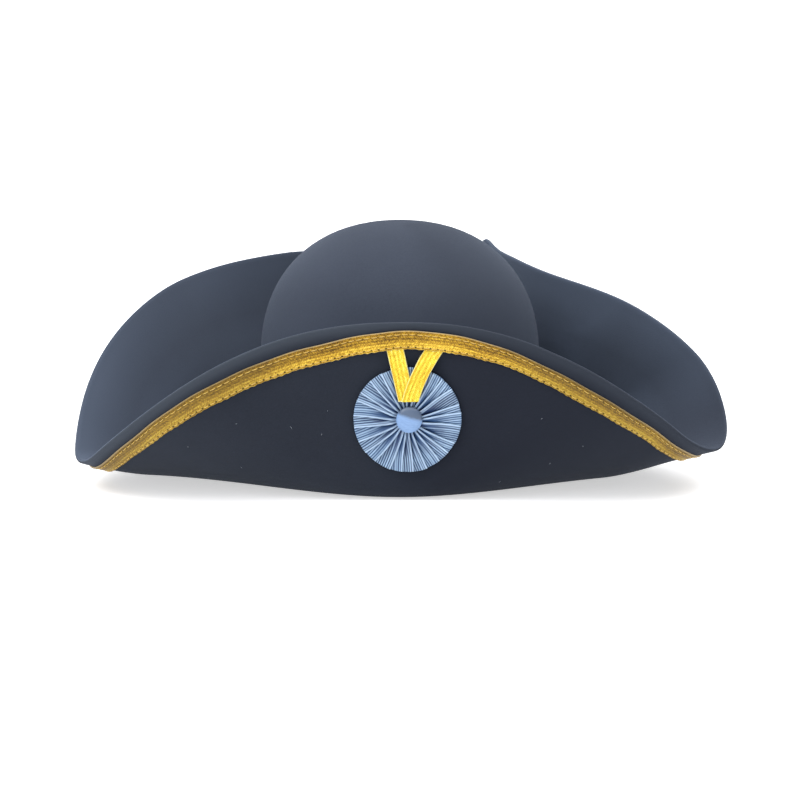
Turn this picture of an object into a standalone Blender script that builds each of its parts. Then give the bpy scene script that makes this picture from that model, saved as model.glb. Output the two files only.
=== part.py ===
"""A three-cornered hat: one felt crown and brim, with the brim folded up into three flaps.

Metres, +Z up. The hat rests on the underside of its brim, and the flap that carries the
cockade faces -Y. The felt is worked out flat first, as a round brim about an oval crown. Then
three folds lift the flaps, and where two of them meet they make a horn. Every trimming is
laid out on the same flat felt, so it follows the flap that it is sewn to.
"""

import math
from collections import namedtuple

import bmesh
import bpy
from mathutils import Vector

# Crown, measured outside
CROWN_WIDTH = 0.172
CROWN_LENGTH = 0.202
CROWN_HEIGHT = 0.140
CROWN_WALL = 0.058
CROWN_TOP_SCALE = 0.97
CROWN_ROUNDNESS = 2.3

# Brim, laid flat
BRIM_BREADTH = 0.119
BRIM_SET_BACK = 0.005
BREAK_RADIUS = 0.006
FELT = 0.0024

# Each flap is folded along a line outside the crown, counted round from the front (azimuth 0)
# towards +X. Lengths are shares of BRIM_BREADTH: out is the fold's distance from the crown, and
# the bends are the radii of the fold. It opens from its middle towards its first and last end.
Flap = namedtuple("Flap", "azimuth out angle bend first_angle first_bend last_angle last_bend")
FLAPS = (
    Flap(azimuth=0, out=0.109, angle=88, bend=0.100,
         first_angle=84, first_bend=0.94, last_angle=83, last_bend=0.97),
    Flap(azimuth=122, out=0.194, angle=93, bend=0.067,
         first_angle=84, first_bend=0.80, last_angle=93, last_bend=0.97),
    Flap(azimuth=-118, out=0.143, angle=63, bend=0.076,
         first_angle=96, first_bend=0.91, last_angle=51, last_bend=0.35),
)
FOLD_REACH = 1.43
FOLD_BOW = 0.076

# A small peak in the rim of the right flap, as a share of BRIM_BREADTH
PEAK_HEIGHT = 0.042
PEAK_AZIMUTH = 147
PEAK_SPREAD = 4.5

# Gold braid along the rim. It lies nearest the rim in the middle of each flap.
GAP = 0.0003
BRAID_WIDTH = 0.0105
BRAID_THICK = 0.0010
BRAID_MARGIN = 0.0082
BRAID_RISE = 0.0038
BRAID_RISE_SPREAD = 11

# Cockade of pleated ribbon, on the front flap. Its heights are over its flat back.
COCKADE_RADIUS = 0.030
COCKADE_BELOW_RIM = 0.0546
COCKADE_RIGHT = 0.0042
EDGE_HEIGHT = 0.0024
RIDGE_HEIGHT = 0.0042
SEAT_HEIGHT = 0.0034
PLEATS = 25
PLEAT_DEPTH = 0.0010
PLEAT_CREST = 0.18
RIDGE_PLEATS = 0.5

# Button in the middle of the cockade. The cockade's ridge and seat and the button's shank are
# shares of its radius.
BUTTON_RADIUS = 0.0073
BUTTON_SIDE = 0.0014
BUTTON_DOME = 0.0030
RIDGE_SHARE = 1.3
SEAT_SHARE = 0.8
SHANK_SHARE = 0.5

# Lace doubled into a V, from under the braid down over the cockade
LACE_WIDTH = 0.0095
LACE_THICK = 0.0009
LACE_ABOVE_COCKADE = 0.0106
LACE_RIGHT_OF_COCKADE = 0.0008
LACE_SPLAY = 0.0021
LACE_LEFT_TILT = 12.6
LACE_RIGHT_TILT = 23.8
LACE_TUCK = 0.0060
LACE_SINK = 0.0003
LACE_RAMP = 0.65
LACE_HUMP = 0.019

# How finely the surfaces are divided
COLUMNS = 84
BRIM_ROWS = 12
BREAK_ROWS = 2
WALL_ROWS = 2
DOME_ROWS = 7
BUTTON_SIDES = 20
ROW_SAMPLES = 160
ROW_CROWDING = 0.32
ROW_CROWDING_REACH = 1.6

CROWN_HALF_WIDTH = CROWN_WIDTH / 2
CROWN_HALF_LENGTH = CROWN_LENGTH / 2


def srgb(code):
    """The linear colour of an sRGB hex code, with alpha 1."""
    shares = [(code >> shift & 255) / 255 for shift in (16, 8, 0)]
    return [s / 12.92 if s <= 0.04045 else ((s + 0.055) / 1.055) ** 2.4 for s in shares] + [1.0]


def material(name, code, roughness, metallic=0.0, sheen=0.0):
    made = bpy.data.materials.new(name)
    made.use_nodes = True
    shader = made.node_tree.nodes["Principled BSDF"]
    shader.inputs["Base Color"].default_value = srgb(code)
    shader.inputs["Roughness"].default_value = roughness
    shader.inputs["Metallic"].default_value = metallic
    shader.inputs["Sheen Weight"].default_value = sheen
    made.diffuse_color = srgb(code)
    return made


def smoothstep(share):
    share = min(max(share, 0.0), 1.0)
    return share * share * (3 - 2 * share)


def blend(low, high, share):
    return low + (high - low) * share


def bearing(azimuth):
    """The unit vector in plan at an azimuth in degrees, counted from -Y towards +X."""
    turn = math.radians(azimuth)
    return math.sin(turn), -math.cos(turn)


def turn_from(azimuth, other):
    """The signed angle in degrees from one azimuth to another."""
    return (other - azimuth + 180) % 360 - 180


def oval_radius(azimuth, half_width, half_length):
    east, north = bearing(azimuth)
    return 1 / math.hypot(east / half_width, north / half_length)


def oval_rim(azimuth):
    """From the crown's middle to the flat brim's outline, an oval that is set a little back."""
    east, north = bearing(azimuth)
    half_width = CROWN_HALF_WIDTH + BRIM_BREADTH
    half_length = CROWN_HALF_LENGTH + BRIM_BREADTH
    square = (east / half_width) ** 2 + (north / half_length) ** 2
    back = north * BRIM_SET_BACK / half_length**2
    rest = 1 - (BRIM_SET_BACK / half_length) ** 2
    return (back + math.sqrt(back**2 + square * rest)) / square


def rim_radius(azimuth):
    """The outline with its small peak."""
    away = turn_from(PEAK_AZIMUTH, azimuth) / PEAK_SPREAD
    return oval_rim(azimuth) + PEAK_HEIGHT * BRIM_BREADTH * math.exp(-(away**2))


def fold_distance(flap):
    """From the crown's middle to the flap's fold line."""
    east, north = bearing(flap.azimuth)
    crown = math.hypot(east * CROWN_HALF_WIDTH, north * CROWN_HALF_LENGTH)
    return crown + flap.out * BRIM_BREADTH


def fold_at(flap, x, y):
    """How the flap is folded beside a point: distance past the fold, angle and bend radius."""
    east, north = bearing(flap.azimuth)
    along = (x * -north + y * east) / (FOLD_REACH * BRIM_BREADTH)
    bow = FOLD_BOW * BRIM_BREADTH * along**2
    past = x * east + y * north - fold_distance(flap) - bow
    end_angle = flap.first_angle if along < 0 else flap.last_angle
    end_bend = flap.first_bend if along < 0 else flap.last_bend
    opened = smoothstep(abs(along))
    angle = math.radians(blend(flap.angle, end_angle, opened))
    return past, angle, blend(flap.bend, end_bend, opened) * BRIM_BREADTH


def fold(x, y):
    """Where a point of the flat brim lies once the three flaps are folded up."""
    place = Vector((x, y, 0))
    for flap in FLAPS:
        east, north = bearing(flap.azimuth)
        past, angle, bend = fold_at(flap, x, y)
        half = bend * angle / 2
        if past <= -half:
            continue
        turned = min((past + half) / bend, angle)
        straight = max(past - half, 0.0)
        outward = -half + bend * math.sin(turned) + straight * math.cos(angle) - past
        upward = bend * (1 - math.cos(turned)) + straight * math.sin(angle)
        place += Vector((outward * east, outward * north, upward))
    return place


def on_brim(x, y, lift=0.0):
    """A point on the outer face of the folded brim, or that far off it."""
    step = 0.0005
    here = fold(x, y)
    eastward = fold(x + step, y) - here
    northward = fold(x, y + step) - here
    return here + lift * northward.cross(eastward).normalized()


def braid_margin(azimuth):
    """From the rim to the braid, which rises towards the rim in the middle of each flap."""
    away = min(abs(turn_from(flap.azimuth, azimuth)) for flap in FLAPS)
    return BRAID_MARGIN - BRAID_RISE * math.exp(-((away / BRAID_RISE_SPREAD) ** 2))


def braid_radii(azimuth):
    """The braid's inner edge, middle and outer edge on the flat brim."""
    outer = oval_rim(azimuth) - braid_margin(azimuth)
    return outer - BRAID_WIDTH, outer - BRAID_WIDTH / 2, outer


def crowding(x, y):
    """How many times closer than in flat felt the rows lie at a point, more in a tight bend."""
    closer = 1.0
    for flap in FLAPS:
        past, angle, bend = fold_at(flap, x, y)
        away = ROW_CROWDING_REACH * past / (bend * angle)
        closer += ROW_CROWDING * BRIM_BREADTH / bend * math.exp(-(away**2))
    return closer


def crowded_rows(azimuth, first, last):
    """Radii from first to last, close together where the felt bends tightly."""
    east, north = bearing(azimuth)
    radii = [blend(first, last, i / ROW_SAMPLES) for i in range(ROW_SAMPLES + 1)]
    total = [0.0]
    for radius in radii[1:]:
        total.append(total[-1] + crowding(radius * east, radius * north))
    rows = []
    at = 0
    for i in range(BRIM_ROWS + 1):
        wanted = total[-1] * i / BRIM_ROWS
        while at < ROW_SAMPLES - 1 and total[at + 1] < wanted:
            at += 1
        share = (wanted - total[at]) / (total[at + 1] - total[at])
        rows.append(blend(radii[at], radii[at + 1], share))
    return rows


def crown_rows():
    """The crown's inner face from the brim up: outset from its oval, scale of the oval, height."""
    rows = []
    for i in range(1, BREAK_ROWS + 1):
        turn = math.radians(90) * i / BREAK_ROWS
        rows.append((BREAK_RADIUS * (1 - math.sin(turn)), 1.0, BREAK_RADIUS * (1 - math.cos(turn))))
    for i in range(1, WALL_ROWS + 1):
        height = blend(BREAK_RADIUS, CROWN_WALL, i / WALL_ROWS)
        scale = blend(1.0, CROWN_TOP_SCALE, smoothstep(height / CROWN_WALL))
        rows.append((0.0, scale, height))
    for i in range(1, DOME_ROWS):
        turn = math.radians(90) * i / DOME_ROWS
        scale = CROWN_TOP_SCALE * math.cos(turn) ** (2 / CROWN_ROUNDNESS)
        rise = math.sin(turn) ** (2 / CROWN_ROUNDNESS)
        rows.append((0.0, scale, blend(CROWN_WALL, CROWN_HEIGHT - FELT, rise)))
    return rows


def felt_column(azimuth):
    """One column of the outer face, from the rim in to the crown and up to its top."""
    east, north = bearing(azimuth)
    oval = oval_radius(azimuth, CROWN_HALF_WIDTH - FELT, CROWN_HALF_LENGTH - FELT)
    inner, middle, outer = braid_radii(azimuth)
    brim = crowded_rows(azimuth, oval + BREAK_RADIUS, inner)
    brim += [middle, outer, rim_radius(azimuth)]
    column = [on_brim(radius * east, radius * north) for radius in reversed(brim)]
    for outset, scale, height in crown_rows():
        radius = oval * scale + outset
        column.append(Vector((radius * east, radius * north, height)))
    return column


def azimuths():
    return [360 * i / COLUMNS for i in range(COLUMNS)]


def add_rings(mesh, rings):
    """Adds rings of points to a mesh, and triangles between each ring and the next.

    They are split the same way in every piece, so sheets that lie on each other stay parallel.
    """
    made = [[mesh.verts.new(point) for point in ring] for ring in rings]
    for ring, after in zip(made, made[1:]):
        for i in range(len(ring)):
            mesh.faces.new((ring[i - 1], ring[i], after[i]))
            mesh.faces.new((ring[i - 1], after[i], after[i - 1]))
    return made


def add_fan(mesh, ring, point):
    """Closes a ring of a mesh with triangles that meet at a point."""
    middle = mesh.verts.new(point)
    for i in range(len(ring)):
        mesh.faces.new((ring[i - 1], ring[i], middle))


def add_piece(name, mesh, finish, parent):
    """Makes an object of the hat from a bmesh, shaded smooth but for its sharp edges."""
    data = bpy.data.meshes.new(name)
    mesh.to_mesh(data)
    mesh.free()
    data.materials.append(finish)
    data.shade_smooth()
    data.set_sharp_from_angle(angle=math.radians(50))
    piece = bpy.data.objects.new(name, data)
    piece.parent = parent
    bpy.context.scene.collection.objects.link(piece)
    return piece


def add_solid(name, mesh, finish, parent):
    """Makes an object from a closed bmesh."""
    bmesh.ops.recalc_face_normals(mesh, faces=mesh.faces)
    return add_piece(name, mesh, finish, parent)


def add_sheet(name, mesh, thickness, offset, finish, parent):
    """Makes an object from an open sheet whose first face looks along -Y.

    The sheet gets its thickness on its outer side (offset 1) or its inner side (offset -1).
    """
    bmesh.ops.recalc_face_normals(mesh, faces=mesh.faces)
    mesh.faces.ensure_lookup_table()
    if mesh.faces[0].normal.y > 0:
        bmesh.ops.reverse_faces(mesh, faces=mesh.faces)
    sheet = add_piece(name, mesh, finish, parent)
    solidify = sheet.modifiers.new("thickness", "SOLIDIFY")
    solidify.thickness = thickness
    solidify.offset = offset
    solidify.use_even_offset = True


def felt_body(parent):
    """Crown and brim, one felt shell. The sheet is its outer face, and thickness goes inwards."""
    columns = [felt_column(azimuth) for azimuth in azimuths()]
    mesh = bmesh.new()
    rings = add_rings(mesh, list(zip(*columns)))
    add_fan(mesh, rings[-1], (0, 0, CROWN_HEIGHT - FELT))
    finish = material("felt", 0x353A44, 0.95, sheen=0.3)
    add_sheet("felt_body", mesh, FELT, -1, finish, parent)


def cockade_centre():
    """The cockade's middle on the flat brim."""
    return COCKADE_RIGHT, COCKADE_BELOW_RIM - oval_rim(0)


def lace_end():
    """The y of the lace's lower end on the flat brim."""
    return cockade_centre()[1] - LACE_ABOVE_COCKADE


def lace_arms():
    """Each arm's lower end in x, and how far its x moves for each metre towards the rim."""
    middle = cockade_centre()[0] + LACE_RIGHT_OF_COCKADE
    left = middle - LACE_SPLAY / 2, -math.tan(math.radians(LACE_LEFT_TILT))
    right = middle + LACE_SPLAY / 2, math.tan(math.radians(LACE_RIGHT_TILT))
    return left, right


def braid_lift(x, y):
    """The braid lies on the felt, and humps over the two ends of the lace."""
    if y > 0:
        return GAP
    (left, left_slope), (right, right_slope) = lace_arms()
    rise = lace_end() - y
    low = left + left_slope * rise - LACE_WIDTH
    high = right + right_slope * rise + LACE_WIDTH
    beyond = max(low - x, x - high, 0.0)
    return GAP + (LACE_THICK + GAP) * (1 - smoothstep(beyond / LACE_HUMP))


def edge_braid(parent):
    """The gold braid, a flat woven band sewn round the outer face of the brim."""
    columns = []
    for azimuth in azimuths():
        east, north = bearing(azimuth)
        places = [(radius * east, radius * north) for radius in reversed(braid_radii(azimuth))]
        columns.append([on_brim(x, y, braid_lift(x, y)) for x, y in places])
    mesh = bmesh.new()
    add_rings(mesh, list(zip(*columns)))
    finish = material("gold_braid", 0xD9A92C, 0.55, metallic=0.3)
    add_sheet("edge_braid", mesh, BRAID_THICK, 1, finish, parent)


def cockade_ring(radius, height, pleat):
    """A ring of the cockade, with a crest and a trough for each pleat."""
    x, y = cockade_centre()
    ring = []
    for i in range(PLEATS):
        for share, side in ((0.0, -0.5), (PLEAT_CREST, 0.5)):
            turn = math.radians(360) * (i + share) / PLEATS
            place = x + radius * math.sin(turn), y + radius * math.cos(turn)
            ring.append(on_brim(*place, GAP + height + side * pleat))
    return ring


def cockade(parent):
    """Ribbon in knife pleats about a flat middle, where the button sits."""
    rings = [cockade_ring(COCKADE_RADIUS, 0.0, 0.0)]
    for share in (1.0, 0.5, 0.0):
        radius = blend(RIDGE_SHARE * BUTTON_RADIUS, COCKADE_RADIUS, share)
        height = blend(RIDGE_HEIGHT, EDGE_HEIGHT, share)
        rings.append(cockade_ring(radius, height, blend(RIDGE_PLEATS, 1.0, share) * PLEAT_DEPTH))
    rings.append(cockade_ring(SEAT_SHARE * BUTTON_RADIUS, SEAT_HEIGHT, 0.0))
    mesh = bmesh.new()
    made = add_rings(mesh, rings)
    add_fan(mesh, made[0], on_brim(*cockade_centre(), GAP))
    add_fan(mesh, made[-1], on_brim(*cockade_centre(), GAP + SEAT_HEIGHT))
    add_solid("cockade", mesh, material("blue_ribbon", 0x7F9CC8, 0.5, sheen=0.3), parent)


def button_ring(radius, lift):
    x, y = cockade_centre()
    ring = []
    for i in range(BUTTON_SIDES):
        turn = math.radians(360) * i / BUTTON_SIDES
        ring.append(on_brim(x + radius * math.sin(turn), y + radius * math.cos(turn), lift))
    return ring


def cockade_button(parent):
    """A domed button covered in satin. It stands on the cockade's flat middle by its shank."""
    foot = GAP + SEAT_HEIGHT + GAP
    base = GAP + RIDGE_HEIGHT + RIDGE_PLEATS * PLEAT_DEPTH / 2 + GAP
    side = base + BUTTON_SIDE
    shank = SHANK_SHARE * BUTTON_RADIUS
    rings = [
        button_ring(shank, foot),
        button_ring(shank, base),
        button_ring(BUTTON_RADIUS, base),
        button_ring(BUTTON_RADIUS, side),
    ]
    for degrees in (30, 60):
        turn = math.radians(degrees)
        rings.append(button_ring(BUTTON_RADIUS * math.cos(turn), side + BUTTON_DOME * math.sin(turn)))
    mesh = bmesh.new()
    made = add_rings(mesh, rings)
    add_fan(mesh, made[0], on_brim(*cockade_centre(), foot))
    add_fan(mesh, made[-1], on_brim(*cockade_centre(), side + BUTTON_DOME))
    add_solid("cockade_button", mesh, material("blue_satin", 0x7B97BD, 0.35, sheen=0.2), parent)


def lace_levels():
    """Where the lace lies, from its lower end to its end under the braid: y, and height."""
    over_ridge = GAP + RIDGE_HEIGHT + PLEAT_DEPTH / 2 + GAP
    over_edge = GAP + EDGE_HEIGHT + PLEAT_DEPTH / 2 + GAP
    off_cockade = cockade_centre()[1] - COCKADE_RADIUS - LACE_THICK
    braid_edge = -braid_radii(0)[0]
    return (
        (lace_end(), over_ridge),
        (blend(lace_end(), off_cockade, 0.5), blend(over_ridge, over_edge, 0.5)),
        (off_cockade, over_edge),
        (blend(off_cockade, braid_edge, LACE_RAMP), GAP),
        (braid_edge - LACE_TUCK, GAP),
    )


def lace_arm(name, arm, tilt, lap, finish, parent):
    """One arm of the lace. On the cockade it is raised by its lap over the other arm."""
    start, slope = arm
    half = LACE_WIDTH / 2 / math.cos(math.radians(tilt))
    rings = []
    for y, height in lace_levels():
        middle = start + slope * (lace_end() - y)
        bottom = height + lap if height > GAP else height
        rings.append([
            on_brim(middle - half, y, bottom),
            on_brim(middle + half, y, bottom),
            on_brim(middle + half, y, bottom + LACE_THICK),
            on_brim(middle - half, y, bottom + LACE_THICK),
        ])
    mesh = bmesh.new()
    made = add_rings(mesh, rings)
    mesh.faces.new(made[0])
    mesh.faces.new(made[-1])
    return add_solid(name, mesh, finish, parent)


def v_lace(parent):
    """A strip of lace doubled into a V. Its right arm laps over its left arm on the cockade."""
    finish = material("gold_lace", 0xE9C53A, 0.5, metallic=0.3)
    left, right = lace_arms()
    lower = lace_arm("v_lace", left, LACE_LEFT_TILT, 0.0, finish, parent)
    lap = LACE_THICK - LACE_SINK
    upper = lace_arm("v_lace_upper_arm", right, LACE_RIGHT_TILT, lap, finish, parent)
    upper.hide_render = True
    upper.display_type = "WIRE"
    union = lower.modifiers.new("upper_arm", "BOOLEAN")
    union.operation = "UNION"
    union.solver = "EXACT"
    union.object = upper


def centre_on_origin(hat):
    """Moves the whole hat so that the middle of its extent in plan is at the origin."""
    bpy.context.view_layer.update()
    graph = bpy.context.evaluated_depsgraph_get()
    corners = [
        piece.matrix_world @ Vector(corner)
        for piece in hat.children
        if not piece.hide_render
        for corner in piece.evaluated_get(graph).bound_box
    ]
    for axis in (0, 1):
        values = [corner[axis] for corner in corners]
        hat.location[axis] = -(min(values) + max(values)) / 2


def main():
    for old in list(bpy.data.objects):
        bpy.data.objects.remove(old)
    hat = bpy.data.objects.new("tricorne_hat", None)
    bpy.context.scene.collection.objects.link(hat)
    felt_body(hat)
    edge_braid(hat)
    cockade(hat)
    cockade_button(hat)
    v_lace(hat)
    centre_on_origin(hat)


main()
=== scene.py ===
"""The finish of a three-cornered felt hat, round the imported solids. Metres, +Z up."""

import math
from collections import namedtuple

import bpy
import numpy as np
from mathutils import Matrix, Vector


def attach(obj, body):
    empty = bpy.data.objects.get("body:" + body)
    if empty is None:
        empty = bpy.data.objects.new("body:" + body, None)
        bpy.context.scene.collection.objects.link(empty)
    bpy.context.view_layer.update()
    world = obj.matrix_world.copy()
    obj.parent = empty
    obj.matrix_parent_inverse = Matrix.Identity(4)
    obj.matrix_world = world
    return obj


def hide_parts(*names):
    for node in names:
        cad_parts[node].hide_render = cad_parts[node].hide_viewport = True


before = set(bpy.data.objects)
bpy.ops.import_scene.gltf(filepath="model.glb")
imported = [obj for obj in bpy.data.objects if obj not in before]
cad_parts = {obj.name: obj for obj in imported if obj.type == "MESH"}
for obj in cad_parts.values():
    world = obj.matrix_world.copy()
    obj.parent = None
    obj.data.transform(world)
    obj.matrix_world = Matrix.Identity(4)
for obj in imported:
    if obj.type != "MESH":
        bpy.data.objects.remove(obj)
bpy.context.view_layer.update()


# Camera
# The photo was taken with a long lens from straight in front of the cockade and a little above
# the brim, so the horns hardly taper. The hat fills the width of the picture.
CAMERA_DISTANCE = 1.5
CAMERA_ELEVATION = 12.7
CAMERA_LENS = 111.8
CROWN_AXIS = np.array([-0.0001, -0.0385, 0.0])
CAMERA_AIM = Vector((0.0, CROWN_AXIS[1], 0.0323))

camera = bpy.data.objects.new("camera", bpy.data.cameras.new("camera"))
camera.data.lens = CAMERA_LENS
rise = math.radians(CAMERA_ELEVATION)
towards_camera = Vector((0.0, -math.cos(rise), math.sin(rise)))
camera.location = CAMERA_AIM + CAMERA_DISTANCE * towards_camera
camera.rotation_euler = towards_camera.to_track_quat("Z", "Y").to_euler()
bpy.context.scene.collection.objects.link(camera)
bpy.context.scene.camera = camera


# Studio
# A wide table of opal acrylic, with a faint light under it that softens shadows, in a white room.
# A large soft light fills the ceiling, so that the table goes white and the upright faces stay
# dark. Lamps at both sides light the flaps' insides, and a weak one in front fills the rest.
TABLE_SIZE = 30.0
TABLE_GLOW = 0.54
WALL_LIGHT = 0.46
HORIZON_LIGHT = 0.34
CEILING_LIGHT = 2.2
CEILING_FROM = 0.60
CEILING_FULL = 0.86
HORIZON_FROM = 0.08
HORIZON_GONE = 0.36
Lamp = namedtuple("Lamp", "name azimuth elevation distance size power")
LAMPS = (
    Lamp("key_lamp", azimuth=-58, elevation=50, distance=1.8, size=0.8, power=16),
    Lamp("right_lamp", azimuth=88, elevation=52, distance=1.8, size=0.9, power=9),
    Lamp("back_lamp", azimuth=165, elevation=50, distance=2.0, size=1.2, power=7),
    Lamp("left_fill", azimuth=-42, elevation=22, distance=1.9, size=1.2, power=1.5),
    Lamp("front_fill", azimuth=-7, elevation=32, distance=1.9, size=0.9, power=3),
)


def srgb(code):
    """The linear colour of an sRGB hex code, with alpha 1."""
    shares = [(code >> shift & 255) / 255 for shift in (16, 8, 0)]
    return [s / 12.92 if s <= 0.04045 else ((s + 0.055) / 1.055) ** 2.4 for s in shares] + [1.0]


def add_node(tree, kind, settings=None, links=None):
    """Adds a shader node with its properties and sockets set, and other nodes linked to it."""
    made = tree.nodes.new(kind)
    settings = settings or {}
    for key, value in settings.items():
        if isinstance(key, str) and hasattr(made, key):
            setattr(made, key, value)
    for key, value in settings.items():
        if not (isinstance(key, str) and hasattr(made, key)):
            made.inputs[key].default_value = value
    for key, socket in (links or {}).items():
        tree.links.new(socket, made.inputs[key])
    return made


def new_material(name):
    """An empty node material, and its tree."""
    made = bpy.data.materials.new(name)
    made.use_nodes = True
    made.node_tree.nodes.clear()
    return made, made.node_tree


def finish_material(tree, colour, relief, strength, distance, settings):
    """Ends a material: its colour, as a socket or an sRGB code, its bump and its shader."""
    bump = add_node(tree, "ShaderNodeBump", {"Strength": strength, "Distance": distance},
                    {"Height": relief})
    links = {"Normal": bump.outputs["Normal"]}
    if isinstance(colour, int):
        settings = {"Base Color": srgb(colour), **settings}
    else:
        links["Base Color"] = colour
    shader = add_node(tree, "ShaderNodeBsdfPrincipled", settings, links)
    add_node(tree, "ShaderNodeOutputMaterial", links={"Surface": shader.outputs[0]})


def opal_acrylic():
    """Frosted opal acrylic: no shine, a glow from below, and a grain too fine to show."""
    made, tree = new_material("frosted_opal_acrylic")
    place = add_node(tree, "ShaderNodeTexCoord")
    grain = add_node(tree, "ShaderNodeTexNoise", {"Scale": 900.0, "Detail": 2.0},
                     {"Vector": place.outputs["Object"]})
    finish_material(tree, 0xE3E3E4, grain.outputs["Fac"], 0.05, 0.0002, {
        "Roughness": 0.9, "Specular IOR Level": 0.2,
        "Emission Color": srgb(0xFFFFFF), "Emission Strength": TABLE_GLOW})
    return made


table_mesh = bpy.data.meshes.new("table_top")
reach = TABLE_SIZE / 2
corners = [(-reach, -reach, 0), (reach, -reach, 0), (reach, reach, 0), (-reach, reach, 0)]
table_mesh.from_pydata(corners, [], [(0, 1, 2, 3)])
table_mesh.materials.append(opal_acrylic())
table_top = bpy.data.objects.new("table_top", table_mesh)
bpy.context.scene.collection.objects.link(table_top)

room = bpy.data.worlds.new("white_room")
room.use_nodes = True
tree = room.node_tree
tree.nodes.clear()
way = add_node(tree, "ShaderNodeTexCoord")
upward = add_node(tree, "ShaderNodeSeparateXYZ",
                  links={"Vector": way.outputs["Generated"]}).outputs["Z"]
ceiling = add_node(tree, "ShaderNodeMapRange", {
    "interpolation_type": "SMOOTHSTEP", "From Min": CEILING_FROM, "From Max": CEILING_FULL,
    "To Min": WALL_LIGHT, "To Max": CEILING_LIGHT}, {"Value": upward})
horizon = add_node(tree, "ShaderNodeMapRange", {
    "interpolation_type": "SMOOTHSTEP", "From Min": HORIZON_FROM, "From Max": HORIZON_GONE,
    "To Min": HORIZON_LIGHT, "To Max": 0.0}, {"Value": upward})
strength = add_node(tree, "ShaderNodeMath", {"operation": "ADD"},
                    {0: ceiling.outputs["Result"], 1: horizon.outputs["Result"]})
sky = add_node(tree, "ShaderNodeBackground", {"Color": srgb(0xF9FAFC)},
               {"Strength": strength.outputs[0]})
add_node(tree, "ShaderNodeOutputWorld", links={"Surface": sky.outputs[0]})
bpy.context.scene.world = room
bpy.context.scene.view_settings.view_transform = "Standard"

for lamp in LAMPS:
    data = bpy.data.lights.new(lamp.name, "AREA")
    data.size = lamp.size
    data.energy = lamp.power
    turn, height = math.radians(lamp.azimuth), math.radians(lamp.elevation)
    towards_lamp = Vector((math.sin(turn) * math.cos(height), -math.cos(turn) * math.cos(height),
                           math.sin(height)))
    light = bpy.data.objects.new(lamp.name, data)
    light.location = CAMERA_AIM + lamp.distance * towards_lamp
    light.rotation_euler = towards_lamp.to_track_quat("Z", "Y").to_euler()
    bpy.context.scene.collection.objects.link(light)


# Felt shell: crown and brim
# One hood of blue-black wool felt, blocked over a wooden crown with a wide flat brim. The brim
# is folded up on three sides with steam, and its edge is a clean cut 2.4 mm thick.
CROWN_HALF_WIDTH = 0.086
CROWN_HALF_LENGTH = 0.101
CROWN_HEIGHT = 0.140
CROWN_WALL = 0.058
CROWN_TOP_SCALE = 0.97
CROWN_ROUNDNESS = 2.3
BRIM_BREADTH = 0.119
BRIM_SET_BACK = 0.005
BREAK_RADIUS = 0.006
FELT = 0.0024
EDGE_BULGE = 0.0007
HAND_WAVE = 0.0004
WAVE_FROM_HEIGHT = 0.045
FELT_COLUMNS = 400
BRIM_ROWS = 60
BREAK_ROWS = 5
WALL_ROWS = 10
DOME_ROWS = 24
EDGE_ROWS = 5

# Each flap's fold line: azimuth from the front towards +X, and as shares of the brim's breadth
# its distance from the crown and its bend radius, in its middle and at its two ends.
Flap = namedtuple("Flap", "azimuth out angle bend first_angle first_bend last_angle last_bend")
FLAPS = (
    Flap(azimuth=0, out=0.109, angle=88, bend=0.100,
         first_angle=84, first_bend=0.94, last_angle=83, last_bend=0.97),
    Flap(azimuth=122, out=0.194, angle=93, bend=0.067,
         first_angle=84, first_bend=0.80, last_angle=93, last_bend=0.97),
    Flap(azimuth=-118, out=0.143, angle=63, bend=0.076,
         first_angle=96, first_bend=0.91, last_angle=51, last_bend=0.35),
)
FOLD_REACH = 1.43
FOLD_BOW = 0.076
# Where the rim stands out from the oval: a blunt peak with a small bump near the back horn,
# and the left flap behind the crown.
Peak = namedtuple("Peak", "height azimuth spread")
PEAKS = (Peak(0.0044, 147.0, 4.5), Peak(0.0036, 148.2, 2.5), Peak(0.0024, -151.0, 9.0))
# How far in the front flap's rim was cut by hand.
Cut = namedtuple("Cut", "azimuth inwards")
FRONT_CUTS = (
    Cut(-66, 0.0), Cut(-44, 0.0006), Cut(-33, 0.0012), Cut(-25, 0.0024), Cut(-19, 0.0023),
    Cut(-11, 0.0015), Cut(0, 0.0010), Cut(10, 0.0012), Cut(17, 0.0019), Cut(26, 0.0026),
    Cut(34, 0.0014), Cut(46, 0.0009), Cut(62, 0.0),
)

# The front right horn's tip sags a little below its fold, from this share of the brim on.
TIP_SAG = 0.0028
TIP_SAG_AZIMUTH = 72
TIP_SAG_SPREAD = 10
TIP_SAG_FROM = 0.75

# Painted light and shade on the brim, by azimuth: how much painted light its upper side
# gets, or painted shade where this is below 0. Then how much painted shade its under side
# gets, and how much painted light its rim's edge gets.
PaintedTone = namedtuple("PaintedTone", "azimuth nap against rubbed")
PAINTED_TONES = (
    PaintedTone(-180, 0.6, 0.0, 0.9), PaintedTone(-150, 0.45, 0.0, 0.9), PaintedTone(-114, 0.40, 0.0, 0.9),
    PaintedTone(-98, 0.48, 0.0, 0.9), PaintedTone(-84, 0.6, 0.0, 0.9), PaintedTone(-60, 0.6, 0.0, 0.9),
    PaintedTone(-6, 0.6, 0.15, 0.9), PaintedTone(14, 0.6, 1.0, 0.9), PaintedTone(40, 0.5, 0.9, 0.75),
    PaintedTone(54, 0.1, 0.8, 0.35), PaintedTone(66, -0.35, 0.0, 0.15), PaintedTone(77, 0.05, 0.0, 0.3),
    PaintedTone(88, 0.56, 0.0, 0.5), PaintedTone(96, 0.74, 0.0, 0.7), PaintedTone(106, 0.64, 0.0, 0.9),
    PaintedTone(116, 2.0, 0.0, 0.9), PaintedTone(135, 2.0, 0.0, 0.9), PaintedTone(150, 1.0, 0.0, 0.9),
    PaintedTone(180, 0.6, 0.0, 0.9),
)
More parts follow.
